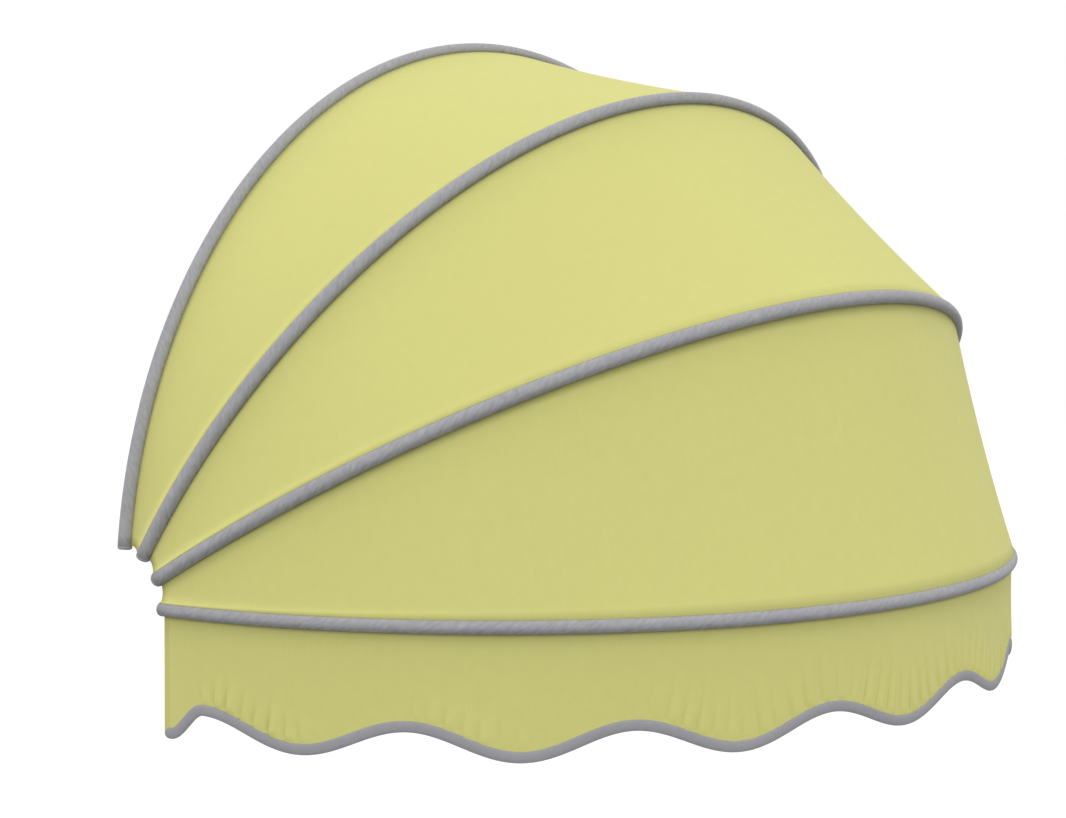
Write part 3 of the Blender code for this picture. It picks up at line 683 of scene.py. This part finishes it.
def hem_slope(phi):
    step = 1e-4
    return (hem_drop(phi + step) - hem_drop(phi - step)) / (2 * step * bow_radius)


def hem_point(phi, outward, below):
    """A point by the hem, square to its slope."""
    slope = hem_slope(phi)
    length = math.hypot(1.0, slope)
    place = by_the_bow(0.0, phi - slope * below / length / bow_radius, outward)
    place.z = fan_line_z - hem_drop(phi) - below / length
    return place


def tuck_strength(place):
    """How strong and how high the tucks are at a place: they come in runs, the same from both ends."""
    phi = math.degrees(place / bow_radius)
    phi = min(phi, 180 - phi)
    strength, height = 0.06, 0.04
    for first, last, run_strength, run_height in tuck_runs:
        within = min(phi - first, last - phi) / run_margin
        if within > -1.0:
            share = min(1.0, 0.5 + 0.5 * within)
            strength = max(strength, run_strength * share)
            height = max(height, run_height * (0.6 + 0.4 * share))
    return strength, height


def tucks_along_the_hem():
    """Each tuck: its place along the hem, its width, how far it stands out and how high it reaches."""
    draws = random.Random(11)
    tucks = []
    place = end_phi() * bow_radius + tuck_pitch
    while place < (math.pi - end_phi()) * bow_radius - tuck_pitch:
        strength, height = tuck_strength(place)
        tucks.append((place, draws.uniform(0.0075, 0.0105), tuck_depth * strength * draws.uniform(0.7, 1.2),
                      height * draws.uniform(0.75, 1.15)))
        place += tuck_pitch * draws.uniform(0.82, 1.18)
    return tucks


tucks = tucks_along_the_hem()


def gather(phi, above_braid):
    """How far the cloth stands out: soft ridges, each with a sharp crease on its left, above the braid."""
    if above_braid <= 0.0:
        return 0.0
    foot = phi * bow_radius - tuck_lean * hem_slope(phi) * above_braid
    out = 0.0
    for place, width, depth, height in tucks:
        offset = foot - place
        if abs(offset) < 3.0 * width and above_braid < height:
            fade = (1 - above_braid / height) ** 1.2 * (1 - math.exp(-above_braid / 0.003))
            ridge = math.exp(-(offset / width) ** 2)
            crease = math.exp(-((offset + crease_offset) / crease_width) ** 2)
            out += depth * fade * (ridge - crease_depth * crease)
    return out


def hung_valance():
    rows = []
    phis = spread_phis(end_phi(), valance_stations)
    for j in range(valance_rows + 1):
        share = j / valance_rows
        row = []
        for phi in phis:
            high = by_the_bow(0.0, phi, 0.0, -tube_radius - valance_gap)
            low = hem_point(phi, 0.0, braid_half - hem_in_braid)
            point = high.lerp(low, share)
            outward = Vector((point.x, point.y + wall_to_bow, 0.0)).normalized()
            above_braid = (high - low).length * (1 - share) - (2 * braid_half - hem_in_braid)
            point += outward * gather(phi, above_braid)
            # the margins hold the distance below the front bow, for the painted shadow under it
            row.append((point, phi * bow_radius, high.z - point.z, (high.z - point.z, 1.0)))
        rows.append(row)
    bm = bmesh.new()
    lay = bm.loops.layers.uv.new("lay")
    two_sided(bm, rows, lay, cloth_thickness)
    return new_piece("valance_cloth", bm, cloth, "front_fan")


# The braid. A grey woven tape folded round the valance's hem and sewn through, so that it is
# rounded and a little thicker than the cloth. It follows every rise and fall of the scallops.
braid_thickness = 0.008
braid_tip_round = 0.007
braid_grey = (0.382, 0.378, 0.408)
braid_sides = 20
braid_girth = 2.8 * braid_half


def woven_braid():
    material = new_material("grey_braid", braid_grey, 0.85)
    tree = material.node_tree
    lay = add_node(tree, "ShaderNodeUVMap", uv_map="lay")
    plaits = place_group(tree, weave, {"Place": lay.outputs["UV"], "Across": 0.0026, "Along": 0.0022,
                                       "Slant": 0.8})
    clouds = place_group(tree, uneven_tone, {"Place": lay.outputs["UV"], "Broad": 8.0,
                                             "Fine": 150.0, "Strength": 0.15})
    tone = arithmetic(tree, "MULTIPLY_ADD", plaits.outputs["Height"], 0.16, -0.08)
    tone = arithmetic(tree, "ADD", tone, clouds.outputs["Tone"])
    tree.links.new(toned(tree, braid_grey, tone), shader_of(material).inputs["Base Color"])
    bumped(tree, plaits.outputs["Height"], 0.0005, 0.6)
    shader_of(material).inputs["Specular IOR Level"].default_value = 0.25
    return material


def folded_braid():
    """A soft oval tape all along the hem."""
    rings = []
    for phi in spread_phis(end_phi(), valance_stations):
        from_tip = (min(phi, math.pi - phi) - end_phi()) * bow_radius
        full = math.sqrt(1 - (1 - min(1.0, (from_tip + 0.0004) / braid_tip_round)) ** 2)
        ring = []
        for k in range(braid_sides):
            turn = 2 * math.pi * k / braid_sides
            outward = braid_thickness / 2 * full * math.cos(turn)
            below = braid_half * full * math.copysign(abs(math.sin(turn)) ** 0.8, math.sin(turn))
            around = braid_girth * k / braid_sides
            ring.append((hem_point(phi, outward, below), phi * bow_radius, around))
        rings.append(ring)
    bm = bmesh.new()
    lay = bm.loops.layers.uv.new("lay")
    verts = skin(bm, rings, lay)
    bm.faces.new(verts[0])
    bm.faces.new(verts[-1])
    bmesh.ops.recalc_face_normals(bm, faces=bm.faces)
    return new_piece("hem_braid", bm, woven_braid(), "front_fan")


valance = hung_valance()
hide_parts("valance")
braid = folded_braid()
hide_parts("valance_braid")


# The studio. A pale floor a usual storey below the hem, a white surround that only the camera
# sees, soft light from all round and one soft lamp high up on the left.
floor_drop = 2.2
floor_half = 40.0
floor_glow = 0.55


def studio_floor():
    material = new_material("pale_studio_floor", (0.50, 0.50, 0.50), 0.9)
    tree = material.node_tree
    path = add_node(tree, "ShaderNodeLightPath")
    glow = add_node(tree, "ShaderNodeEmission", {"Color": (1.0, 1.0, 1.0, 1.0), "Strength": floor_glow})
    both = add_node(tree, "ShaderNodeAddShader", {0: shader_of(material).outputs[0], 1: glow.outputs[0]})
    mix = add_node(tree, "ShaderNodeMixShader", {0: path.outputs["Is Camera Ray"],
                                                1: shader_of(material).outputs[0], 2: both.outputs[0]})
    tree.links.new(mix.outputs[0], tree.nodes["Material Output"].inputs["Surface"])
    return material


floor_mesh = bpy.data.meshes.new("studio_floor")
floor_bm = bmesh.new()
bmesh.ops.create_grid(floor_bm, x_segments=8, y_segments=8, size=floor_half)
floor_bm.to_mesh(floor_mesh)
floor_bm.free()
floor_mesh.materials.append(studio_floor())
floor = bpy.data.objects.new("studio_floor", floor_mesh)
floor.location = (0.0, 0.0, cad_low.z - floor_drop)
bpy.context.collection.objects.link(floor)

world = bpy.data.worlds.new("white_surround")
world.use_nodes = True
bpy.context.scene.world = world
surround = world.node_tree
path = add_node(surround, "ShaderNodeLightPath")
seen = arithmetic(surround, "MAXIMUM", path.outputs["Is Camera Ray"], path.outputs["Is Transmission Ray"])
seen = arithmetic(surround, "MAXIMUM", seen, path.outputs["Is Glossy Ray"])
ambient = 0.80
strength = arithmetic(surround, "MULTIPLY_ADD", seen, 1.0 - ambient, ambient)
background = surround.nodes["Background"]
background.inputs["Color"].default_value = (1.0, 1.0, 1.0, 1.0)
surround.links.new(strength, background.inputs["Strength"])


# One soft lamp, high up on the camera's side, as from a bright overcast sky.
lamp_azimuth = math.radians(-50)
lamp_elevation = math.radians(67)
lamp_way = Vector((math.sin(lamp_azimuth) * math.cos(lamp_elevation),
                   -math.cos(lamp_azimuth) * math.cos(lamp_elevation), math.sin(lamp_elevation)))
lamp = bpy.data.lights.new("high_soft_lamp", "SUN")
lamp.energy = 0.68
lamp.angle = math.radians(20)
lamp_holder = bpy.data.objects.new("high_soft_lamp", lamp)
lamp_holder.rotation_euler = lamp_way.to_track_quat("Z", "Y").to_euler()
bpy.context.collection.objects.link(lamp_holder)


# The camera. It stands to the left of the awning and a little above its middle, as in the
# photograph, at a distance at which the near end looks clearly larger than the far one.
view_azimuth = math.radians(-51.5747)
view_elevation = math.radians(3.259)
view_distance = 3.7192
view_target = Vector((0.0734, -wall_to_bow, fan_line_z + 0.2691))
back_way = Vector((math.sin(view_azimuth) * math.cos(view_elevation),
                   -math.cos(view_azimuth) * math.cos(view_elevation), math.sin(view_elevation)))
lens = bpy.data.cameras.new("photo_camera")
lens.lens = 60.0
lens.sensor_width = 36.0
camera = bpy.data.objects.new("photo_camera", lens)
camera.location = view_target + back_way * view_distance
camera.rotation_euler = (-back_way).to_track_quat("-Z", "Y").to_euler()
bpy.context.collection.objects.link(camera)
bpy.context.scene.camera = camera
bpy.context.scene.view_settings.view_transform = "Standard"
